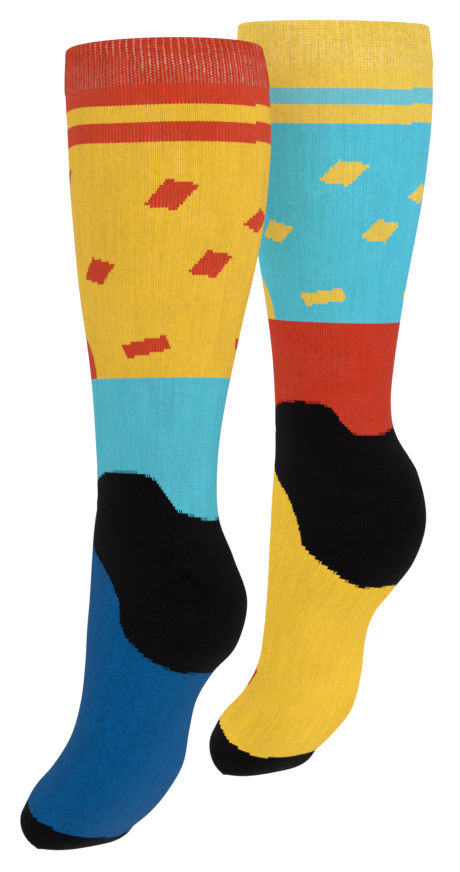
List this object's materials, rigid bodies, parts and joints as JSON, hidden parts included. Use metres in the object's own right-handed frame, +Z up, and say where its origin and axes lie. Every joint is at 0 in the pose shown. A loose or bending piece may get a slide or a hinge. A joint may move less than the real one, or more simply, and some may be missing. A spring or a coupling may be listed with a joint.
{
  "type": "pair of knee-high socks",
  "caption": "Pair of ribbed-top knitted knee-high socks in bright unlike colours, hollow and held in their worn shape, toes pointing down.",
  "frame": {"origin": "centre of the near sock's cuff opening, where the wearer's leg holds it", "axes": "+Z up the leg, +X to the right and +Y away from the viewer in the reference view; the toes point down and towards -X and +Y"},
  "size_m": [0.2663, 0.2668, 0.538],
  "materials": {
    "near_cuff_knit": "red ribbed cotton knit",
    "near_leg_knit": "plain cotton knit, yellow with red bands and blocks, turquoise at the ankle",
    "near_heel_knit": "black cotton knit",
    "near_foot_knit": "blue cotton knit",
    "near_toe_knit": "black cotton knit",
    "far_cuff_knit": "yellow ribbed cotton knit",
    "far_leg_knit": "plain cotton knit, turquoise with yellow bands and blocks, red at the ankle",
    "far_heel_knit": "black cotton knit",
    "far_foot_knit": "yellow cotton knit",
    "far_toe_knit": "black cotton knit"
  },
  "bodies": {
    "root": {"near_sock_cuff": "near_cuff_knit", "near_sock_leg": "near_leg_knit", "near_sock_heel": "near_heel_knit", "near_sock_foot": "near_foot_knit", "near_sock_toe": "near_toe_knit", "far_sock_cuff": "far_cuff_knit", "far_sock_leg": "far_leg_knit", "far_sock_heel": "far_heel_knit", "far_sock_foot": "far_foot_knit", "far_sock_toe": "far_toe_knit"}
  },
  "joints": []
}
